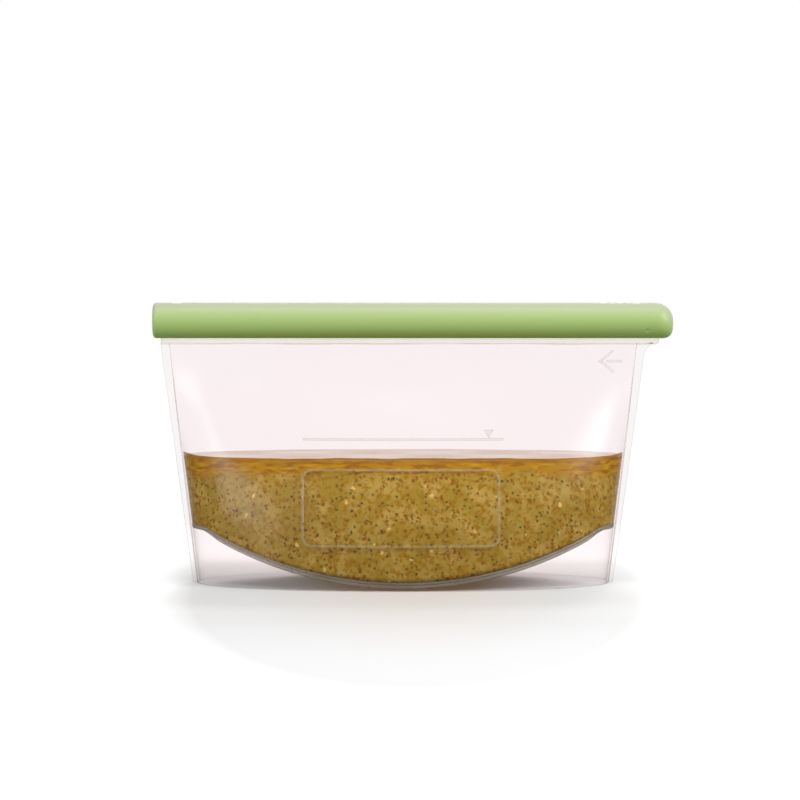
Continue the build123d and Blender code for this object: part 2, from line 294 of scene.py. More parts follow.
wall_silicone = silicone(
    "wall_silicone",
    clear=(0.996, 0.974, 0.977),
    edge=(0.93, 0.90, 0.90),
    haze_colour=(0.72, 0.68, 0.67),
    haze=0.004,
    edge_haze=0.08,
    sharpness=5.0,
)
front_wall = wall_sheet("bag_front_wall", -1)
front_wall.data.materials.append(wall_silicone)
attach(front_wall, "bag")
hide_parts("front_wall")

# ---- Back wall ----------------------------------------------------------------------------------
# The same silicone sheet as the front, without the raised marks, bonded to it along both sides and
# dented in its own places where the bag is empty.

back_wall = wall_sheet("bag_back_wall", 1)
back_wall.data.materials.append(wall_silicone)
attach(back_wall, "bag")
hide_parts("back_wall")

# ---- Side seams ---------------------------------------------------------------------------------
# The margins where the two walls are vulcanised together: flat, twice as thick as a wall and
# clearer at the edge. The right one has a small hollow web under the lips' overhang.

seam_silicone = silicone(
    "seam_silicone",
    clear=(0.982, 0.968, 0.966),
    edge=(0.60, 0.57, 0.56),
    haze_colour=(0.66, 0.62, 0.61),
    haze=0.012,
    edge_haze=0.45,
)
seam_half_thickness = 1.05 * mm
seam_floor_half_width = 90.75 * mm
seam_slope = 0.1325
seam_overlap = 0.3 * mm
seam_rounding = 0.55 * mm
seam_slices = 24
web_radius = 4.2 * mm
web_steps = 7


def side_seam(name, side):
    """A flat margin drawn from a few corners, rounded, and thickened both ways."""
    top = lip_foot_z + 0.9 * mm
    inner_floor = floor_half_width + wall_thickness - seam_overlap
    inner_top = floor_half_width + side_slope * top - seam_overlap
    outer_top = seam_floor_half_width + seam_slope * top
    corners = [(inner_floor, 0), (seam_floor_half_width, 0)]
    if side > 0:
        corners.append((seam_floor_half_width + seam_slope * (top - web_radius), top - web_radius))
        for k in range(1, web_steps + 1):
            turn = math.radians(90 * k / web_steps)
            corners.append(
                (
                    outer_top + web_radius * (1 - math.cos(turn)),
                    top - web_radius * (1 - math.sin(turn)),
                )
            )
    else:
        corners.append((outer_top, top))
    corners.append((inner_top, top))
    bm = bmesh.new()
    loop = [bm.verts.new((bag_x + side * x, seam_half_thickness, z)) for x, z in corners]
    face = bm.faces.new(loop)
    made = bmesh.ops.extrude_face_region(bm, geom=[face])["geom"]
    far = [g for g in made if isinstance(g, bmesh.types.BMVert)]
    bmesh.ops.translate(bm, verts=far, vec=(0, -2 * seam_half_thickness, 0))
    bmesh.ops.recalc_face_normals(bm, faces=bm.faces)
    outer = [
        e
        for e in bm.edges
        if abs(e.verts[0].co.y - e.verts[1].co.y) < 1e-7
        and min(abs(v.co.x - bag_x) for v in e.verts) > inner_top - 12 * mm
        and not (abs(e.verts[0].co.z - top) < 1e-6 and abs(e.verts[1].co.z - top) < 1e-6)
    ]
    bmesh.ops.bevel(
        bm, geom=outer, offset=seam_rounding, segments=3, profile=0.5, affect="EDGES", material=-1
    )
    for k in range(1, seam_slices):
        bmesh.ops.bisect_plane(
            bm,
            geom=bm.verts[:] + bm.edges[:] + bm.faces[:],
            plane_co=(0, 0, top * k / seam_slices),
            plane_no=(0, 0, 1),
        )
    return finish_mesh(bm, name)


left_seam = side_seam("bag_left_seam", -1)
right_seam = side_seam("bag_right_seam", 1)
for seam, node in ((left_seam, "left_side_seam"), (right_seam, "right_side_seam")):
    seam.data.materials.append(seam_silicone)
    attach(seam, "bag")
    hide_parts(node)

# ---- Bottom gusset ------------------------------------------------------------------------------
# A folded sheet bonded between the walls, which opens into the bag's floor. The food hangs in it
# like a hammock, low in the middle where it rests on the table and high at its two ends.

gusset_radius = 164.0 * mm
gusset_crown = 0.8 * mm
gusset_sag = 3.1 * mm
gusset_sag_span = 42.0 * mm
gusset_thickness = 1.2 * mm
gusset_edge_gap = 0.05 * mm
gusset_lift = 0.45 * mm
corner_top = 25.9 * mm
corner_x = 86.0 * mm


def gusset_height(x, y):
    """Height of the gusset's upper face, x measured from the bag's middle."""
    reach = gusset_radius - gusset_sag * (y / gusset_sag_span) ** 2
    arc = gusset_crown + gusset_radius - math.sqrt(max(reach**2 - x**2, 0))
    level = corner_top - 1.0 * mm
    soften = 0.5 * mm
    return 0.5 * (arc + level - math.sqrt((arc - level) ** 2 + 4 * soften**2))


def gusset_meets_wall(u, side, grow=0.0):
    """The point where the gusset runs into a wall's inner face."""
    z = 5.0 * mm
    for _ in range(14):
        point = skin_point(u, max(z, 0), side, grow)
        z = gusset_height(point.x - bag_x, point.y)
    return skin_point(u, max(z, 0), side, grow)


bm = bmesh.new()
bmesh.ops.create_grid(bm, x_segments=110, y_segments=36, size=1)
for v in bm.verts:
    side = -1 if v.co.y < 0 else 1
    edge = gusset_meets_wall(v.co.x, side, -gusset_edge_gap)
    y = abs(v.co.y) * edge.y
    v.co = Vector((edge.x, y, gusset_height(edge.x - bag_x, y)))
bmesh.ops.translate(bm, verts=bm.verts, vec=(0, 0, gusset_lift))
gusset = finish_mesh(bm, "bag_gusset")
gusset_wall = gusset.modifiers.new("thickness", "SOLIDIFY")
gusset_wall.thickness = gusset_thickness
gusset_wall.offset = -1
# Painted shade: the gusset's tint is much greyer than the walls', standing in for the shadowed
# floor under the bag seen through it.
gusset_silicone = silicone(
    "gusset_silicone",
    clear=(0.86, 0.830, 0.822),
    edge=(0.80, 0.78, 0.77),
    haze_colour=(0.64, 0.61, 0.60),
    haze=0.04,
    edge_haze=0.18,
)
gusset.data.materials.append(gusset_silicone)
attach(gusset, "bag")
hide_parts("bottom_gusset")

# ---- Gusset seams -------------------------------------------------------------------------------
# Where the gusset is bonded to each wall the silicone is several layers thick: a heavy curved band
# that looks grey beside the food and ends in a short level piece at each side.

seam_band_silicone = silicone(
    "seam_band_silicone",
    clear=(0.78, 0.76, 0.71),
    edge=(0.90, 0.89, 0.87),
    haze_colour=(0.34, 0.31, 0.24),
    haze=0.46,
    edge_haze=0.22,
    sharpness=2.0,
    roughness=0.22,
)
band_above = 0.3 * mm
band_below = 2.4 * mm
band_depth = 1.9 * mm
band_columns = 16
end_above, end_below, end_blend = 0.9 * mm, 1.0 * mm, 7 * mm


def ring_skin(columns, rings, place):
    """A skin of closed rings, each extruded from the last; place(column, ring) sets every point."""
    bm = bmesh.new()
    bmesh.ops.create_circle(bm, segments=columns, radius=1)
    number = bm.verts.layers.int.new("column")
    for column, v in enumerate(bm.verts):
        v[number] = column
        v.co = place(column, 0)
    edges = bm.edges[:]
    for ring in range(1, rings):
        made = bmesh.ops.extrude_edge_only(bm, edges=edges)["geom"]
        fresh = {g for g in made if isinstance(g, bmesh.types.BMVert)}
        edges = [
            g for g in made if isinstance(g, bmesh.types.BMEdge) and set(g.verts) <= fresh
        ]
        for v in fresh:
            v.co = place(v[number], ring)
    bmesh.ops.holes_fill(bm, edges=bm.edges, sides=columns)
    bmesh.ops.remove_doubles(bm, verts=bm.verts, dist=0.001 * mm)
    bmesh.ops.recalc_face_normals(bm, faces=bm.faces)
    return bm


def gusset_band(name, side):
    """The thick seam along one wall: a rounded bar swept along the line where the gusset ends."""
    steps = 150

    def place(column, ring):
        u = -1 + 2 * ring / (steps - 1)
        line = gusset_meets_wall(u, side)
        end = min(max((abs(line.x - bag_x) - (corner_x - end_blend)) / end_blend, 0), 1)
        above = band_above * (1 - end) + end_above * end
        below = band_below * (1 - end) + end_below * end
        turn = 2 * math.pi * column / band_columns
        across, up = math.cos(turn), math.sin(turn)
        squared = max(abs(across), abs(up)) ** 0.8
        across, up = across / squared, up / squared
        depth = band_depth * (0.5 - 0.5 * across)
        height = (above - below) / 2 + (above + below) / 2 * up
        z = max(line.z + height, 0.2 * mm)
        return skin_point(u, z, side, -depth)

    return finish_mesh(ring_skin(band_columns, steps, place), name)


for name, side, node in (
    ("bag_front_gusset_band", -1, "front_gusset_seam"),
    ("bag_back_gusset_band", 1, "back_gusset_seam"),
):
    band = gusset_band(name, side)
    band.data.materials.append(seam_band_silicone)
    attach(band, "bag")
    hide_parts(node)

# ---- Lips ---------------------------------------------------------------------------------------
# Two thick moulded lips along the mouth. Each has a half-round bead that the bar grips, a thin neck
# that stands in the bar's slot, and a thicker foot below it, moulded onto the wall's top edge.

lip_low, lip_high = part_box("front_lip")
bead_radius = -lip_low.y
bead_z = lip_high.z - bead_radius
neck_thickness = 1.4 * mm
foot_thickness = 1.8 * mm
foot_top = lip_foot_z + 2.65 * mm
foot_bottom = lip_foot_z + 0.7 * mm
foot_corner = 1.6 * mm
rim_rounding = 0.35 * mm
bead_steps, bead_end_gap = 26, 0.004
lip_slices = 72
lip_silicone = silicone(
    "lip_silicone",
    clear=(0.987, 0.978, 0.962),
    edge=(0.70, 0.68, 0.65),
    haze_colour=(0.80, 0.78, 0.72),
    haze=0.03,
    edge_haze=0.45,
)


def lip(name, side):
    """Half of the mouth's profile, spun round the bead and drawn out along the bar."""
    bead_turn = math.acos(neck_thickness / bead_radius)
    bm = bmesh.new()
    foot = [
        (0.02 * mm, foot_bottom),
        (foot_thickness, foot_bottom),
        (foot_thickness, foot_top),
        (neck_thickness, foot_top),
    ]
    corners = [bm.verts.new((lip_low.x, side * y, z)) for y, z in foot]
    start = bm.verts.new(
        (
            lip_low.x,
            side * neck_thickness,
            bead_z - bead_radius * math.sin(bead_turn),
        )
    )
    bmesh.ops.spin(
        bm,
        geom=[start],
        cent=(lip_low.x, 0, bead_z),
        axis=(side, 0, 0),
        dvec=(0, 0, 0),
        angle=math.pi / 2 + bead_turn - bead_end_gap,
        steps=bead_steps,
        use_duplicate=False,
    )
    arc = sorted(
        (v for v in bm.verts if v not in corners),
        key=lambda v: math.atan2(v.co.z - bead_z, side * v.co.y),
    )
    face = bm.faces.new(corners + arc)
    for edge in [e for e in bm.edges if not e.link_faces]:
        bm.edges.remove(edge)
    made = bmesh.ops.extrude_face_region(bm, geom=[face])["geom"]
    far = [g for g in made if isinstance(g, bmesh.types.BMVert)]
    bmesh.ops.translate(bm, verts=far, vec=(lip_high.x - lip_low.x, 0, 0))
    bmesh.ops.recalc_face_normals(bm, faces=bm.faces)
    overhang = [
        e
        for e in bm.edges
        if all(abs(v.co.x - lip_high.x) < 1e-7 and v.co.z < foot_bottom + 1e-7 for v in e.verts)
    ]
    bmesh.ops.bevel(
        bm, geom=overhang, offset=foot_corner, segments=6, profile=0.5, affect="EDGES", material=-1
    )
    rim = [
        e
        for e in bm.edges
        if all(abs(abs(v.co.y) - foot_thickness) < 1e-6 for v in e.verts)
        and len(e.link_faces) == 2
        and e.calc_face_angle(0) > 0.5
    ]
    bmesh.ops.bevel(
        bm, geom=rim, offset=rim_rounding, segments=3, profile=0.5, affect="EDGES", material=-1
    )
    for k in range(1, lip_slices):
        bmesh.ops.bisect_plane(
            bm,
            geom=bm.verts[:] + bm.edges[:] + bm.faces[:],
            plane_co=(lip_low.x + (lip_high.x - lip_low.x) * k / lip_slices, 0, 0),
            plane_no=(1, 0, 0),
        )
    # The foot's lower edge isn't dead straight: the mould's flash and the sheet's pull wander.
    for v in bm.verts:
        low = min(max((foot_bottom + 1.2 * mm - v.co.z) / (1.2 * mm), 0), 1)
        wander = 0.22 * math.sin(v.co.x / (17 * mm) + side) + 0.12 * math.sin(v.co.x / (6.1 * mm))
        v.co.z += wander * mm * low
    return finish_mesh(bm, name)


for name, side, node in (("bag_front_lip", -1, "front_lip"), ("bag_back_lip", 1, "back_lip")):
    mouth_lip = lip(name, side)
    mouth_lip.data.materials.append(lip_silicone)
    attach(mouth_lip, "bag")
    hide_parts(node)

# ---- Raised marks -------------------------------------------------------------------------------
# Low marks cut into the front wall's mould, so they stand up from it in the same silicone: a frame
# to write a label in, the fill line with its pointer, and an arrow the way the bar goes on.

frame_silicone = silicone(
    "frame_silicone",
    clear=(0.985, 0.972, 0.968),
    edge=(0.45, 0.43, 0.41),
    haze_colour=(0.86, 0.82, 0.74),
    haze=0.05,
    edge_haze=0.42,
    sharpness=1.6,
    roughness=0.18,
)
mark_silicone = silicone(
    "mark_silicone",
    clear=(0.985, 0.972, 0.968),
    edge=(0.22, 0.21, 0.20),
    haze_colour=(0.70, 0.67, 0.63),
    haze=0.01,
    edge_haze=0.30,
    sharpness=1.4,
    roughness=0.18,
)
mark_height = 0.45 * mm
mark_rounding = 0.16 * mm
mark_sink = 0.03 * mm
mark_facet = 2.5 * mm
fill_line_low, fill_line_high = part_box("fill_line")
pointer_low, pointer_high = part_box("fill_pointer")
label_low, label_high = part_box("label_frame")
arrow_low, arrow_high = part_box("slide_arrow")


def on_front_wall(x, z):
    """The point of the front wall's outer face at a given x and height."""
    low, high = -1.0, 1.0
    for _ in range(40):
        u = (low + high) / 2
        if skin_point(u, z, -1, wall_thickness).x < x:
            low = u
        else:
            high = u
    return skin_point((low + high) / 2, z, -1, wall_thickness)


def raise_mark(bm, name):
    """Cuts a flat outline into small faces, lays it on the front wall and gives it its height."""
    xs = [v.co.x for v in bm.verts]
    zs = [v.co.z for v in bm.verts]
    for low, high, normal in ((min(xs), max(xs), (1, 0, 0)), (min(zs), max(zs), (0, 0, 1))):
        cuts = int((high - low) / mark_facet)
        for k in range(1, cuts + 1):
            at = low + (high - low) * k / (cuts + 1)
            bmesh.ops.bisect_plane(
                bm,
                geom=bm.verts[:] + bm.edges[:] + bm.faces[:],
                plane_co=[at * n for n in normal],
                plane_no=normal,
            )
    for v in bm.verts:
        v.co = on_front_wall(v.co.x, v.co.z) + Vector((0, mark_sink, 0))
    bmesh.ops.recalc_face_normals(bm, faces=bm.faces)
    for face in bm.faces:
        if face.normal.y > 0:
            face.normal_flip()
    mark = finish_mesh(bm, name)
    height = mark.modifiers.new("height", "SOLIDIFY")
    height.thickness = mark_height
    height.offset = 1
    soften = mark.modifiers.new("soften", "BEVEL")
    soften.width = mark_rounding
    soften.segments = 2
    return mark


def flat_bar(bm, x, z, width, height):
    """A flat upright rectangle centred on a point."""
    place = Matrix.Translation((x, 0, z)) @ Matrix.Rotation(math.radians(90), 4, "X")
    place = place @ Matrix.Diagonal((width / 2, height / 2, 1, 1))
    return bmesh.ops.create_grid(bm, x_segments=1, y_segments=1, size=1, matrix=place)["verts"]


label_corner = 4.2 * mm
label_line = 0.9 * mm
bm = bmesh.new()
label_middle = (label_low + label_high) / 2
label_size = label_high - label_low
flat_bar(bm, label_middle.x, label_middle.z, label_size.x, label_size.z)
bmesh.ops.bevel(
    bm,
    geom=bm.verts[:],
    offset=label_corner,
    segments=8,
    profile=0.5,
    affect="VERTICES",
    material=-1,
)
bmesh.ops.inset_region(
    bm, faces=bm.faces[:], thickness=label_line, use_even_offset=True, use_boundary=True
)
middle_face = max(bm.faces, key=lambda f: f.calc_area())
bmesh.ops.delete(bm, geom=[middle_face], context="FACES")
label_frame = raise_mark(bm, "mark_label_frame")

bm = bmesh.new()
line_middle = (fill_line_low + fill_line_high) / 2
line_size = fill_line_high - fill_line_low
flat_bar(bm, line_middle.x, line_middle.z, line_size.x, line_size.z)
fill_line = raise_mark(bm, "mark_fill_line")

bm = bmesh.new()
bm.faces.new(
    [
        bm.verts.new((pointer_low.x, 0, pointer_high.z)),
        bm.verts.new((pointer_high.x, 0, pointer_high.z)),
        bm.verts.new(((pointer_low.x + pointer_high.x) / 2, 0, pointer_low.z)),
    ]
)
fill_pointer = raise_mark(bm, "mark_fill_pointer")

arrow_line = 0.95 * mm
shaft_gap = 3.2 * mm
arrow_turn = math.radians(40)
arrow_tip = Vector((arrow_low.x, 0, (arrow_low.z + arrow_high.z) / 2))
barb_length = (arrow_high.z - arrow_low.z) / 2 / math.sin(arrow_turn)
bm = bmesh.new()
head = [(0, 0)]
for rise in (1, -1):
    along = (math.cos(arrow_turn), rise * math.sin(arrow_turn))
    across = (math.sin(arrow_turn), -rise * math.cos(arrow_turn))
    outer = (barb_length * along[0], barb_length * along[1])
    inner = (outer[0] + arrow_line * across[0], outer[1] + arrow_line * across[1])
    head += [outer, inner] if rise > 0 else [inner, outer]
head.insert(3, (arrow_line / math.sin(arrow_turn), 0))
bm.faces.new([bm.verts.new(arrow_tip + Vector((x, 0, z))) for x, z in head])
shaft_start = arrow_tip.x + shaft_gap
flat_bar(
    bm,
    (shaft_start + arrow_high.x) / 2,
    arrow_tip.z,
    arrow_high.x - shaft_start,
    arrow_line,
)
slide_arrow = raise_mark(bm, "mark_slide_arrow")

for mark, node, mark_material in (
    (label_frame, "label_frame", frame_silicone),
    (fill_line, "fill_line", mark_silicone),
    (fill_pointer, "fill_pointer", mark_silicone),
    (slide_arrow, "slide_arrow", mark_silicone),
):
    mark.data.materials.append(mark_material)
    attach(mark, "bag")
    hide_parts(node)

# ---- Food ---------------------------------------------------------------------------------------
# A thick blended sauce with spices, a skin of orange oil on top, and crumbs of nut and herb in it.
# It lies against both walls and in the gusset, and clings a little higher up the silicone.

fill_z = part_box("food_fill")[1].z
food_gap = 0.22 * mm
food_settle = 0.1 * mm
food_columns = 260
bottom_rings, side_rings, top_rings = 16, 26, 22
dip_x, dip_width, dip_depth = 66 * mm, 22 * mm, 0.65
curl_x, curl_width, front_curl, back_curl = 98.5 * mm, 3.5 * mm, 2.4, 1.2
front_cling = 0.45
cling_width = 1.6 * mm
swell_height = 0.16


def food_rim_z(x, side):
    """Height of the food's edge: on the front wall it clings, least beside the middle."""
    beside = math.exp(-(((abs(x) - dip_x) / dip_width) ** 2))
    end = math.exp(-(((abs(x) - curl_x) / curl_width) ** 2))
    ripple = 0.10 * math.sin(x / (5.3 * mm)) + 0.07 * math.sin(x / (2.3 * mm) + 1.0)
    front_rim = -dip_depth * beside + front_curl * end + front_cling + ripple
    back_rim = -food_settle / mm + back_curl * end
    return fill_z + (front_rim if side < 0 else back_rim) * mm


def food_place(column, ring):
    """The food's skin, from the gusset's middle outwards, up the walls and back across its top."""
    half = food_columns // 2
    side = -1 if column < half else 1
    share = (column % half) / half
    u = -math.cos(math.pi * share) if side < 0 else math.cos(math.pi * share)
    foot = gusset_meets_wall(u, side, -food_gap)
    foot_z = foot.z + band_above + food_gap
    if ring < bottom_rings:
        out = ring / bottom_rings
        x, y = (foot.x - bag_x) * out, foot.y * out
        ease = out**3
        return Vector((bag_x + x, y, gusset_height(x, y) + 0.5 * mm + ease * (foot_z - foot.z)))
    rim_x = skin_point(u, fill_z, side, -food_gap).x - bag_x
    rim_z = food_rim_z(rim_x, side)
    if ring < bottom_rings + side_rings:
        up = (ring - bottom_rings) / (side_rings - 1)
        z = foot_z + (rim_z - foot_z) * up
        return skin_point(u, z, side, -food_gap)
    inward = (ring - bottom_rings - side_rings + 1) / top_rings
    rim = skin_point(u, rim_z, side, -food_gap)
    x, y = (rim.x - bag_x) * (1 - inward), rim.y * (1 - inward)
    from_rim = math.hypot(rim.x - bag_x - x, rim.y - y)
    cling = math.exp(-from_rim / cling_width)
    swell = swell_height * math.sin(x / (9 * mm)) * math.cos(y / (7 * mm)) * mm
    lower = fill_z - food_settle + swell * (1 - cling)
    return Vector((bag_x + x, y, lower + (rim_z - lower) * cling))


food_bm = ring_skin(food_columns, bottom_rings + side_rings + top_rings, food_place)
bmesh.ops.remove_doubles(food_bm, verts=food_bm.verts, dist=0.02 * mm)
bmesh.ops.recalc_face_normals(food_bm, faces=food_bm.faces)
food = finish_mesh(food_bm, "food_sauce")

food_material, tree, output = new_material("sauce")
links = tree.links
place = add_node(tree, "ShaderNodeTexCoord")


def noise_mask(scale, low, high, detail=3.0, offset=(0, 0, 0)):
    """A soft mask that is white where a noise runs above low."""
    shift = add_node(tree, "ShaderNodeMapping")
    shift.inputs["Location"].default_value = offset
    noise = add_node(tree, "ShaderNodeTexNoise", Scale=scale, Detail=detail, Roughness=0.62)
    links.new(place.outputs["Object"], shift.inputs["Vector"])
    links.new(shift.outputs["Vector"], noise.inputs["Vector"])
    return spread(tree, noise.outputs["Fac"], low, high)


def fleck_mask(scale, size, share, offset=(0, 0, 0)):
    """Scattered flecks: the hearts of some of a cell pattern's cells."""
    shift = add_node(tree, "ShaderNodeMapping")
    shift.inputs["Location"].default_value = offset
    warp = add_node(tree, "ShaderNodeTexNoise", Scale=scale * 1.7, Detail=2.0)
    bend = add_node(tree, "ShaderNodeVectorMath", operation="MULTIPLY_ADD")
    bend.inputs[1].default_value = (0.8 / scale,) * 3
    cells = add_node(tree, "ShaderNodeTexVoronoi", Scale=scale)
    part = add_node(tree, "ShaderNodeSeparateColor")
    links.new(place.outputs["Object"], shift.inputs["Vector"])
    links.new(shift.outputs["Vector"], warp.inputs["Vector"])
    links.new(warp.outputs["Color"], bend.inputs[0])
    links.new(shift.outputs["Vector"], bend.inputs[2])
    links.new(bend.outputs["Vector"], cells.inputs["Vector"])
    links.new(cells.outputs["Color"], part.inputs["Color"])
    heart = spread(tree, cells.outputs["Distance"], size, size * 0.55)
    chosen = calculate(tree, "LESS_THAN", part.outputs["Red"], share)
    return calculate(tree, "MULTIPLY", heart, chosen, use_clamp=True)


khaki = (0.280, 0.192, 0.018)
pale_khaki = (0.385, 0.272, 0.058)
ochre = (0.255, 0.128, 0.001)
oil_amber = (0.325, 0.166, 0.001)
oil_bright = (0.41, 0.240, 0.002)
oil_deep = (0.225, 0.092, 0.0005)
rust = (0.200, 0.078, 0.003)
bark = (0.090, 0.046, 0.006)
herb = (0.080, 0.066, 0.010)
nut = (0.60, 0.42, 0.12)

colour = colour_mix(tree, khaki, pale_khaki, noise_mask(110.0, 0.42, 0.64))
ochre_cloud = noise_mask(430.0, 0.49, 0.62, detail=6.0, offset=(3, 1, 2))
colour = colour_mix(tree, colour, ochre, ochre_cloud)
colour = colour_mix(tree, colour, ochre, fleck_mask(460.0, 0.44, 0.45, (1, 2, 3)))
colour = colour_mix(tree, colour, rust, fleck_mask(400.0, 0.38, 0.40, (4, 0, 1)))
colour = colour_mix(tree, colour, bark, fleck_mask(470.0, 0.34, 0.26, (7, 3, 5)))
colour = colour_mix(tree, colour, herb, fleck_mask(500.0, 0.34, 0.26, (2, 8, 4)))
colour = colour_mix(tree, colour, nut, fleck_mask(330.0, 0.34, 0.04, (6, 5, 9)))

# The oil floats: it colours the top few millimetres in thin level streaks, with a ragged lower
# edge that hangs deeper toward the seams.
parts = add_node(tree, "ShaderNodeSeparateXYZ")
links.new(place.outputs["Object"], parts.inputs["Vector"])
ragged = add_node(tree, "ShaderNodeTexNoise", Scale=170.0, Detail=5.0, Roughness=0.68)
links.new(place.outputs["Object"], ragged.inputs["Vector"])
height = parts.outputs["Z"]
raggedness = calculate(tree, "MULTIPLY_ADD", ragged.outputs["Fac"], 12.0 * mm, height)
sideways = calculate(tree, "ABSOLUTE", parts.outputs["X"])
deeper = spread(tree, sideways, 45 * mm, 95 * mm, 0.0, 3.5 * mm)
hang = calculate(tree, "ADD", raggedness, deeper)
oil = spread(tree, hang, fill_z - 1.0 * mm, fill_z + 2.6 * mm)


def streak_mask(low, high, offset):
    """Thin level streaks: a noise drawn out sideways."""
    shift = add_node(tree, "ShaderNodeMapping")
    shift.inputs["Location"].default_value = offset
    shift.inputs["Scale"].default_value = (0.22, 0.22, 1.0)
    noise = add_node(tree, "ShaderNodeTexNoise", Scale=620.0, Detail=3.0, Roughness=0.6)
    links.new(place.outputs["Object"], shift.inputs["Vector"])
    links.new(shift.outputs["Vector"], noise.inputs["Vector"])
    return spread(tree, noise.outputs["Fac"], low, high)


oil_colour = colour_mix(tree, oil_amber, oil_bright, streak_mask(0.50, 0.62, (1, 1, 0)))
oil_colour = colour_mix(tree, oil_colour, oil_deep, streak_mask(0.50, 0.60, (4, 2, 7)))
colour = colour_mix(tree, colour, oil_colour, oil)
rim_line = spread(tree, height, fill_z - 2.4 * mm, fill_z - 0.6 * mm, 0.0, 0.75)
colour = colour_mix(tree, colour, oil_deep, rim_line)

sauce = add_node(tree, "ShaderNodeBsdfPrincipled", IOR=1.45)
sauce.inputs["Subsurface Weight"].default_value = 0.08
sauce.inputs["Subsurface Radius"].default_value = (1.0, 0.6, 0.2)
sauce.inputs["Subsurface Scale"].default_value = 0.8 * mm
open_top = spread(tree, height, fill_z - 0.7 * mm, fill_z - 0.4 * mm)
top_roughness = spread(tree, open_top, 0.0, 1.0, 0.5, 0.07)
top_shine = spread(tree, open_top, 0.0, 1.0, 0.02, 0.5)
lumps = add_node(tree, "ShaderNodeTexNoise", Scale=380.0, Detail=4.0)
links.new(place.outputs["Object"], lumps.inputs["Vector"])
lump_bump = add_node(tree, "ShaderNodeBump", Strength=0.12, Distance=0.0003)
links.new(top_roughness, sauce.inputs["Roughness"])
links.new(top_shine, sauce.inputs["Specular IOR Level"])
links.new(lumps.outputs["Fac"], lump_bump.inputs["Height"])
links.new(lump_bump.outputs["Normal"], sauce.inputs["Normal"])
links.new(colour, sauce.inputs["Base Color"])
links.new(sauce.outputs["BSDF"], output.inputs["Surface"])
food.data.materials.append(food_material)
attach(food, "bag")
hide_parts("food_fill")

# ---- Closure bar --------------------------------------------------------------------------------
# One injection-moulded bar in satin green plastic, round outside and hollow, slotted along its
# underside so that it slides over the lips' beads. Its closed end is a soft dome.

bar_low, bar_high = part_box("closure_bar")
bar_radius = (bar_high.z - bar_low.z) / 2
bar_z = (bar_high.z + bar_low.z) / 2
bore_radius = 5.75 * mm
bore_end = bar_high.x - 5.2 * mm
slot_half = 1.9 * mm
end_rounding = 1.7 * mm
pad_x, pad_half, pad_width, pad_depth = 89.2 * mm, 8.75 * mm, 3.5 * mm, 0.3 * mm
rib_pitch, rib_half, rib_reach = 3.4 * mm, 0.6 * mm, 2.45 * mm
notch_x, notch_half, notch_depth = -101.5 * mm, 2.4 * mm, 0.3 * mm
gate_x, gate_drop, gate_radius, gate_depth = 100.7 * mm, 3.9 * mm, 0.5 * mm, 0.45 * mm
nose_start = bar_high.x - bar_radius
heel_squareness = 1.8


def bar_reach(x, turn):
    """Radius of the bar's skin at x, turn measured from straight up."""
    if x > nose_start:
        squareness = 2 + heel_squareness * ((1 - math.cos(turn)) / 2) ** 2
        past = min((x - nose_start) / bar_radius, 1)
        return bar_radius * max(1 - past**squareness, 0) ** (1 / squareness)
    past = bar_low.x + end_rounding - x
    if past > 0:
        return bar_radius - end_rounding + math.sqrt(max(end_rounding**2 - past**2, 0))
    return bar_radius


def bar_skin(x, turn):
    """A point of the bar's outside, with the thumb pad, the notch and the gate mark pressed in."""
    reach = bar_reach(x, turn)
    y, z = reach * math.sin(turn), reach * math.cos(turn)
    edge = 0.25 * mm
    if z > 0:
        on_pad = min(max((pad_half - abs(x - pad_x)) / edge, 0), 1)
        on_pad *= min(max((pad_width - abs(y)) / edge, 0), 1)
        nearest_rib = (round((x - pad_x) / rib_pitch - 0.5) + 0.5) * rib_pitch
        if abs(nearest_rib) < 2 * rib_pitch and abs(y) < rib_reach:
            on_pad *= min(max((abs(x - pad_x - nearest_rib) - rib_half) / edge, 0), 1)
        z -= on_pad * max(z - (bar_radius - pad_depth), 0)
        on_notch = min(max((notch_half - abs(x - notch_x)) / edge, 0), 1)
        z -= on_notch * max(z - (bar_radius - notch_depth), 0)
    if y < 0:
        gate = math.exp(-((x - gate_x) ** 2 + (z + gate_drop) ** 2) / gate_radius**2)
        y += gate * gate_depth
    return Vector((x, y, bar_z + z))


def stations(stretches):
    """Positions along the bar, from a list of (where the stretch ends, spacing in it)."""
    places = [bar_low.x]
    for end, spacing in stretches:
        count = max(math.ceil((end - places[-1]) / spacing - 0.001), 1)
        start = places[-1]
        places += [start + (end - start) * k / count for k in range(1, count + 1)]
    return places


channel = stations(
    [
        (bar_low.x + 1.8 * mm, 0.2 * mm),
        (notch_x - 3 * mm, 1.5 * mm),
        (notch_x + 3 * mm, 0.25 * mm),
        (pad_x - 9.5 * mm, 2.5 * mm),
        (pad_x + 9.5 * mm, 0.25 * mm),
        (gate_x - 0.9 * mm, 0.5 * mm),
        (gate_x + 0.9 * mm, 0.15 * mm),
        (nose_start, 0.8 * mm),
        (bore_end, 0.4 * mm),
    ]
)
outer_columns, bore_columns = 132, 40
slot_turn = math.pi - math.asin(slot_half / bar_radius)
bore_turn = math.pi - math.asin(slot_half / bore_radius)


def channel_place(column, ring):
    """The hollow length: round the outside from one side of the slot, then back round the bore."""
    x = channel[ring]
    if column < outer_columns:
        return bar_skin(x, slot_turn * (2 * column / (outer_columns - 1) - 1))
    turn = bore_turn * (1 - 2 * (column - outer_columns) / (bore_columns - 1))
    return Vector((x, bore_radius * math.sin(turn), bar_z + bore_radius * math.cos(turn)))


nose_rings, nose_columns = 30, 132


def nose_place(column, ring):
    """The solid closed end, from the end of the bore to the tip."""
    begin = math.asin((bore_end - nose_start) / bar_radius)
    swing = begin + (math.pi / 2 - begin) * ring / (nose_rings - 1)
    turn = 2 * math.pi * column / nose_columns
    return bar_skin(nose_start + bar_radius * math.sin(swing), turn)


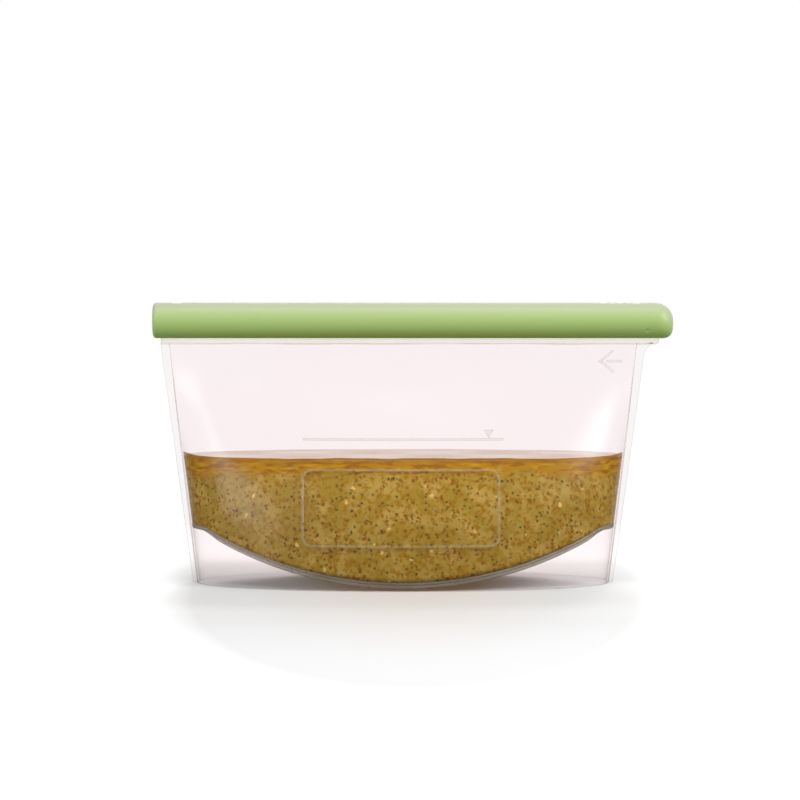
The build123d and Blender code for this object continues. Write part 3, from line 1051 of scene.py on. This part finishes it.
bar_bm = ring_skin(outer_columns + bore_columns, len(channel), channel_place)
nose_bm = ring_skin(nose_columns, nose_rings, nose_place)
nose_mesh = bpy.data.meshes.new("closure_bar_nose")
nose_bm.to_mesh(nose_mesh)
nose_bm.free()
bar_bm.from_mesh(nose_mesh)
bpy.data.meshes.remove(nose_mesh)
bar_piece = finish_mesh(bar_bm, "closure_bar_green", crease=50)

bar_material, tree, output = new_material("green_bar_plastic")
links = tree.links
texture = grain(tree, 1500.0, 25.0, 0.3)
bump = add_node(tree, "ShaderNodeBump", Strength=0.10, Distance=0.0002)
plastic = add_node(tree, "ShaderNodeBsdfPrincipled", IOR=1.49)
bar_place = add_node(tree, "ShaderNodeTexCoord")
bar_parts = add_node(tree, "ShaderNodeSeparateXYZ")
links.new(bar_place.outputs["Object"], bar_parts.inputs["Vector"])
# Height up the bar, used below for the painted top light and to set the shine stronger toward the
# top.
upper = spread(tree, bar_parts.outputs["Z"], bar_z - bar_radius, bar_z + bar_radius)
edge_sheen = add_node(tree, "ShaderNodeLayerWeight", Blend=0.42).outputs["Facing"]
bar_colour_with_painted_light = colour_mix(tree, (0.285, 0.465, 0.092), (0.300, 0.482, 0.104), texture.outputs["Slow"])
# Painted top light: the colour is mixed paler and greyer toward the top of the bar.
bar_colour_with_painted_light = colour_mix(tree, bar_colour_with_painted_light, (0.318, 0.362, 0.190), upper)
# Painted sheen: the upper edges, where seen edge-on, are painted paler still, a painted highlight.
painted_top_sheen = calculate(tree, "MULTIPLY", edge_sheen, upper)
bar_colour_with_painted_light = colour_mix(tree, bar_colour_with_painted_light, (0.41, 0.43, 0.36), painted_top_sheen)
links.new(bar_colour_with_painted_light, plastic.inputs["Base Color"])
links.new(spread(tree, upper, 0.0, 1.0, 0.1, 0.5), plastic.inputs["Specular IOR Level"])
bar_roughness = spread(tree, texture.outputs["Slow"], 0.0, 1.0, 0.38, 0.48)
links.new(bar_roughness, plastic.inputs["Roughness"])
links.new(texture.outputs["Height"], bump.inputs["Height"])
links.new(bump.outputs["Normal"], plastic.inputs["Normal"])
links.new(plastic.outputs["BSDF"], output.inputs["Surface"])
bar_piece.data.materials.append(bar_material)
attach(bar_piece, "bar")
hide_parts("closure_bar")

# ---- Studio -------------------------------------------------------------------------------------
# A white paper sweep under and behind the bag, with soft boxes behind, in front, overhead and at
# both sides. The paper's own glow, seen only by the camera and by gloss, whitens it, and near the
# bag the glow is painted lower and warmer: a painted shadow with a painted warm bounce.

scene = bpy.context.scene
scene.view_settings.view_transform = "Standard"
world = bpy.data.worlds.new("studio")
scene.world = world
world.use_nodes = True
tree = world.node_tree
background = tree.nodes["Background"]
background.inputs["Color"].default_value = (1, 1, 1, 1)
seen = add_node(tree, "ShaderNodeLightPath").outputs["Is Camera Ray"]
tree.links.new(spread(tree, seen, 0.0, 1.0, 0.32, 1.0), background.inputs["Strength"])

sweep_bm = bmesh.new()
bmesh.ops.create_grid(sweep_bm, x_segments=1, y_segments=60, size=1)
sweep_start, sweep_radius = 0.9, 0.8
sweep_half_width, sweep_half_length = 2.5, 2.2
for v in sweep_bm.verts:
    run = (v.co.y + 1) / 2 * (2 * sweep_half_length) - sweep_half_length
    past = max(run - sweep_start, 0)
    turn = min(past / sweep_radius, math.pi / 2)
    climb = max(past - sweep_radius * math.pi / 2, 0)
    y = min(run, sweep_start) + sweep_radius * math.sin(turn)
    z = sweep_radius * (1 - math.cos(turn)) + climb
    v.co = Vector((v.co.x * sweep_half_width, y, z - 0.05 * mm))
sweep = finish_mesh(sweep_bm, "studio_sweep")
sweep_material, tree, output = new_material("sweep_paper")
links = tree.links
paper_place = add_node(tree, "ShaderNodeTexCoord")
paper_parts = add_node(tree, "ShaderNodeSeparateXYZ")
paper_ray = add_node(tree, "ShaderNodeLightPath")
by_camera = paper_ray.outputs["Is Camera Ray"]
links.new(paper_place.outputs["Object"], paper_parts.inputs["Vector"])
far_back = spread(tree, paper_parts.outputs["Y"], 0.04, 0.26)
around = add_node(tree, "ShaderNodeVectorMath", operation="MULTIPLY")
around.inputs[1].default_value = (3.4, 1.0, 0.0)
distance = add_node(tree, "ShaderNodeVectorMath", operation="LENGTH")
links.new(paper_place.outputs["Object"], around.inputs[0])
links.new(around.outputs["Vector"], distance.inputs[0])
from_bag = distance.outputs["Value"]

# Painted shadow: near the bag the paper's glow is low and warm, a painted shadow with a painted
# warm bounce, and it brightens outwards and toward the back.
glow_with_painted_shadow = calculate(tree, "MULTIPLY", by_camera, spread(tree, from_bag, 0.32, 0.42, 0.12, 0.55))
seen_or_mirrored = calculate(tree, "MAXIMUM", by_camera, paper_ray.outputs["Is Glossy Ray"])
far_glow = calculate(tree, "MULTIPLY", seen_or_mirrored, far_back)
paper_glow = add_node(tree, "ShaderNodeEmission")
# Painted warm bounce: the glow near the bag is coloured orange, standing in for light through the
# food.
painted_warm_bounce = colour_mix(tree, (1.0, 0.62, 0.30), (1.0, 1.0, 1.0), spread(tree, from_bag, 0.07, 0.24))
links.new(painted_warm_bounce, paper_glow.inputs["Color"])
links.new(calculate(tree, "MAXIMUM", glow_with_painted_shadow, far_glow), paper_glow.inputs["Strength"])

# The lit part of the paper fades out where the glow takes over.
paper = add_node(tree, "ShaderNodeBsdfDiffuse")
paper_tone = spread(tree, by_camera, 0.0, 1.0, 0.20, 0.475)
near_share = spread(tree, far_back, 0.25, 1.0, 1.0, 0.0)
links.new(calculate(tree, "MULTIPLY", paper_tone, near_share), paper.inputs["Color"])
paper_sum = add_node(tree, "ShaderNodeAddShader")
links.new(paper.outputs["BSDF"], paper_sum.inputs[0])
links.new(paper_glow.outputs["Emission"], paper_sum.inputs[1])
links.new(paper_sum.outputs["Shader"], output.inputs["Surface"])
sweep.data.materials.append(sweep_material)


def soft_light(name, place, aim, size, power, mirrored=True):
    """A square soft box at a place, aimed at a point, and unseen in gloss if not mirrored."""
    data = bpy.data.lights.new(name, "AREA")
    data.shape = "SQUARE"
    data.size = size
    data.energy = power
    lamp = bpy.data.objects.new(name, data)
    lamp.location = place
    lamp.rotation_euler = (Vector(aim) - Vector(place)).to_track_quat("-Z", "Y").to_euler()
    lamp.visible_glossy = mirrored
    lamp.visible_camera = False
    scene.collection.objects.link(lamp)


soft_light("back_box", (0.12, 1.05, 0.62), (0, 0, 0.02), 0.70, 21.0, mirrored=False)
soft_light("front_box", (0.1, -0.95, 1.05), (0, 0, 0.06), 0.7, 6.6, mirrored=False)
soft_light("top_box", (0.0, -0.20, 1.15), (0, 0, 0.1), 0.5, 3.5)
soft_light("left_box", (-0.85, -0.75, 0.30), (0, 0, 0.06), 0.6, 7.0)
soft_light("right_box", (0.95, -0.48, 0.62), (0, 0, 0.06), 0.5, 11.0)

camera_data = bpy.data.cameras.new("camera")
camera = bpy.data.objects.new("camera", camera_data)
scene.collection.objects.link(camera)
camera_x = -5.6 * mm
camera_distance, camera_height, aim_height = 1.700, 0.195, 0.0787
view_width = 0.345
camera.location = (camera_x, -camera_distance, camera_height)
sight = Vector((camera_x, 0, aim_height)) - camera.location
camera.rotation_euler = sight.to_track_quat("-Z", "Y").to_euler()
camera_data.sensor_width = 36.0
camera_data.lens = 36.0 * sight.length / view_width
camera_data.clip_end = 20
scene.camera = camera
